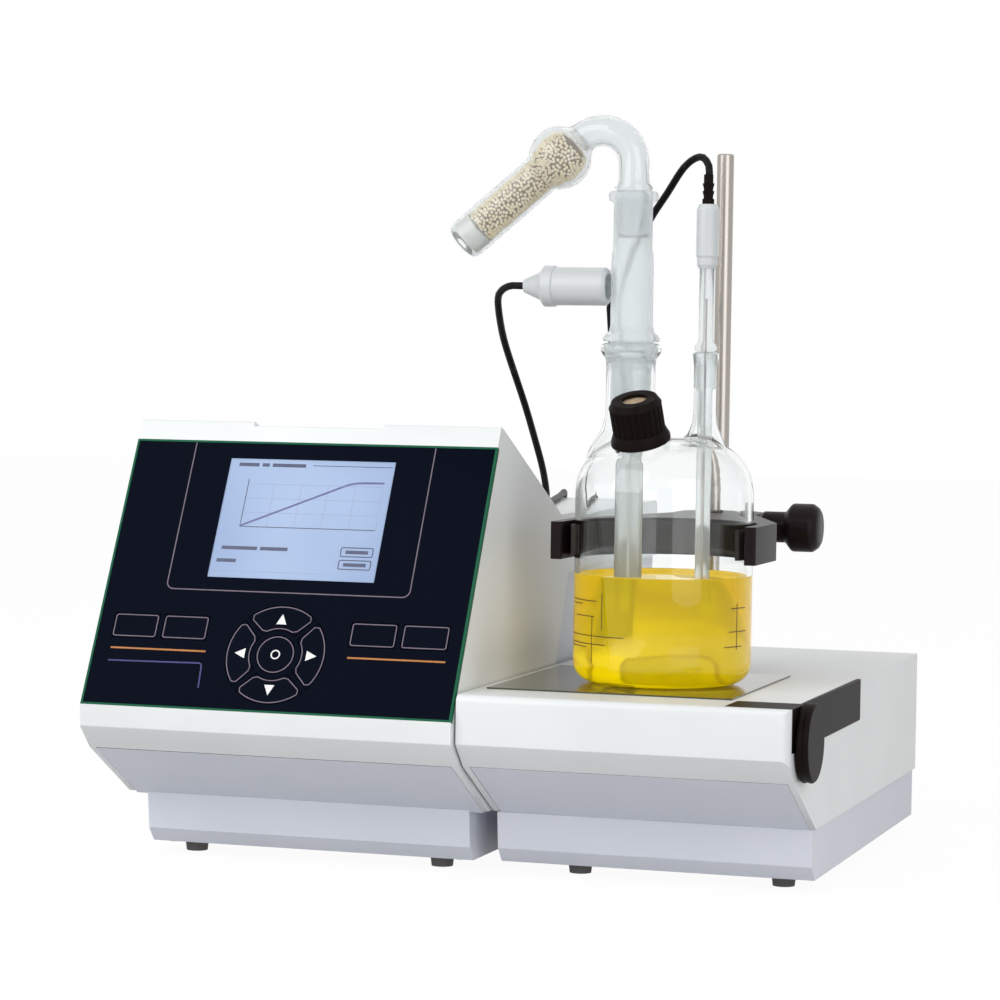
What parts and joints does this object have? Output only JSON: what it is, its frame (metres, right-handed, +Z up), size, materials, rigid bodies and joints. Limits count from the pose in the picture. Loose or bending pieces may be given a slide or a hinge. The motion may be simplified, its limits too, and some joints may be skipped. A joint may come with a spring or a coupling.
{
  "type": "automatic titrator",
  "caption": "Coulometric titrator with a leaning keypad and display, a magnetic stirrer, and a glass cell with electrodes held in a clamp on a stand rod.",
  "frame": {"origin": "on the bench, under the middle of the two housings", "axes": "+X to the right along the fronts, +Y to the back, +Z up"},
  "size_m": [0.2886, 0.3639, 0.2989],
  "materials": {
    "white_housing": "satin",
    "grey_housing": "satin",
    "black_panel": "gloss",
    "display": "gloss",
    "black_plastic": "satin",
    "board": "satin",
    "steel": "satin",
    "black_rubber": "matte",
    "plate_enamel": "gloss",
    "clamp_brown": "satin",
    "soft_lining": "matte",
    "clear_glass": "gloss",
    "liquid": "gloss",
    "white_plastic": "satin",
    "septum_tan": "matte",
    "desiccant_tan": "matte",
    "cotton": "matte",
    "platinum": "polished",
    "cable_black": "satin"
  },
  "bodies": {
    "housings": {"titrator_cover": "white_housing", "titrator_chassis": "grey_housing", "titrator_base_plate": "steel", "operating_panel": "black_panel", "display_pane": "display", "display_module": "black_plastic", "keypad_board": "board", "main_board": "board", "generator_board": "board", "rear_sockets": "steel", "titrator_feet": "black_rubber", "titrator_screws": "steel", "stirrer_cover": "white_housing", "stirrer_chassis": "grey_housing", "stirrer_base_plate": "steel", "vessel_plate": "plate_enamel", "control_insert": "black_plastic", "speed_potentiometer": "steel", "stirrer_motor": "steel", "rod_socket": "steel", "stirrer_feet": "black_rubber", "stirrer_screws": "steel", "stand_rod": "steel", "generator_cable": "cable_black", "generator_coil": "cable_black", "indicator_cable": "cable_black", "indicator_coil": "cable_black", "generator_plug": "black_rubber", "indicator_plug": "black_rubber"},
    "key_mode": {"key_mode": "black_plastic"},
    "key_edit": {"key_edit": "black_plastic"},
    "key_esc": {"key_esc": "black_plastic"},
    "key_start": {"key_start": "black_plastic"},
    "key_up": {"key_up": "black_plastic"},
    "key_down": {"key_down": "black_plastic"},
    "key_left": {"key_left": "black_plastic"},
    "key_right": {"key_right": "black_plastic"},
    "key_ok": {"key_ok": "black_plastic"},
    "power_switch": {"power_switch": "black_plastic"},
    "speed_wheel": {"speed_wheel": "black_plastic"},
    "magnet_rotor": {"magnet_rotor": "steel"},
    "rod_sleeve": {"rod_sleeve": "black_plastic"},
    "cell": {"vessel_clamp": "clamp_brown", "clamp_lining": "soft_lining", "titration_vessel": "clear_glass", "electrolyte": "liquid", "septum": "septum_tan", "generator_tube": "clear_glass", "generator_diaphragm": "platinum", "generator_head": "white_plastic", "indicator_shaft": "clear_glass", "indicator_pins": "platinum", "indicator_head": "white_plastic", "indicator_relief": "black_rubber"},
    "clamp_knob": {"clamp_knob": "clamp_brown"},
    "drying_tube": {"drying_tube": "clear_glass", "desiccant": "desiccant_tan", "cotton_plugs": "cotton"},
    "septum_cap": {"septum_cap": "black_plastic"},
    "stirring_bar": {"stirring_bar": "white_plastic"}
  },
  "joints": [
    {"name": "press_mode", "type": "slide", "parent": "housings", "child": "key_mode", "axis": [0, 0.887, -0.4617], "range_m": [0, 0.0006], "stiffness_N_per_m": 800},
    {"name": "press_edit", "type": "slide", "parent": "housings", "child": "key_edit", "axis": [0, 0.887, -0.4617], "range_m": [0, 0.0006], "stiffness_N_per_m": 800},
    {"name": "press_esc", "type": "slide", "parent": "housings", "child": "key_esc", "axis": [0, 0.887, -0.4617], "range_m": [0, 0.0006], "stiffness_N_per_m": 800},
    {"name": "press_start", "type": "slide", "parent": "housings", "child": "key_start", "axis": [0, 0.887, -0.4617], "range_m": [0, 0.0006], "stiffness_N_per_m": 800},
    {"name": "press_up", "type": "slide", "parent": "housings", "child": "key_up", "axis": [0, 0.887, -0.4617], "range_m": [0, 0.0006], "stiffness_N_per_m": 800},
    {"name": "press_down", "type": "slide", "parent": "housings", "child": "key_down", "axis": [0, 0.887, -0.4617], "range_m": [0, 0.0006], "stiffness_N_per_m": 800},
    {"name": "press_left", "type": "slide", "parent": "housings", "child": "key_left", "axis": [0, 0.887, -0.4617], "range_m": [0, 0.0006], "stiffness_N_per_m": 800},
    {"name": "press_right", "type": "slide", "parent": "housings", "child": "key_right", "axis": [0, 0.887, -0.4617], "range_m": [0, 0.0006], "stiffness_N_per_m": 800},
    {"name": "press_ok", "type": "slide", "parent": "housings", "child": "key_ok", "axis": [0, 0.887, -0.4617], "range_m": [0, 0.0006], "stiffness_N_per_m": 800},
    {"name": "rock_switch", "type": "hinge", "parent": "housings", "child": "power_switch", "pos_m": [-0.01425, 0.1425, 0.07], "axis": [1, 0, 0], "range_deg": [-7, 7]},
    {"name": "turn_speed_wheel", "type": "hinge", "parent": "housings", "child": "speed_wheel", "pos_m": [0.13875, -0.123, 0.062], "axis": [1, 0, 0], "range_deg": [-135, 135]},
    {"name": "spin_rotor", "type": "hinge", "parent": "housings", "child": "magnet_rotor", "pos_m": [0.07055, -0.0715, 0.066], "axis": [0, 0, 1], "continuous": true},
    {"name": "lift_clamp", "type": "slide", "parent": "housings", "child": "rod_sleeve", "axis": [0, 0, 1], "range_m": [0, 0.1], "deforming": ["generator_cable", "indicator_cable"]},
    {"name": "swing_clamp", "type": "hinge", "parent": "rod_sleeve", "child": "cell", "pos_m": [0.07055, 0.0175, 0.13], "axis": [0, 0, 1], "range_deg": [-10, 75]},
    {"name": "turn_clamp_knob", "type": "hinge", "parent": "cell", "child": "clamp_knob", "pos_m": [0.07055, 0.0175, 0.13425], "axis": [1, 0, 0], "range_deg": [0, 360]},
    {"name": "turn_drying_tube", "type": "hinge", "parent": "cell", "child": "drying_tube", "pos_m": [0.05605, -0.0715, 0.27], "axis": [0, 0, 1], "range_deg": [-90, 90]},
    {"name": "unscrew_cap", "type": "hinge", "parent": "cell", "child": "septum_cap", "pos_m": [0.0665, -0.09235, 0.1713], "axis": [-0.0715, -0.3677, 0.9272], "range_deg": [0, 360]},
    {"name": "spin_bar", "type": "hinge", "parent": "cell", "child": "stirring_bar", "pos_m": [0.07055, -0.0715, 0.082], "axis": [0, 0, 1], "continuous": true}
  ],
  "couplings": [
    {"joint": "spin_bar", "follows": "spin_rotor", "ratio": 1}
  ]
}
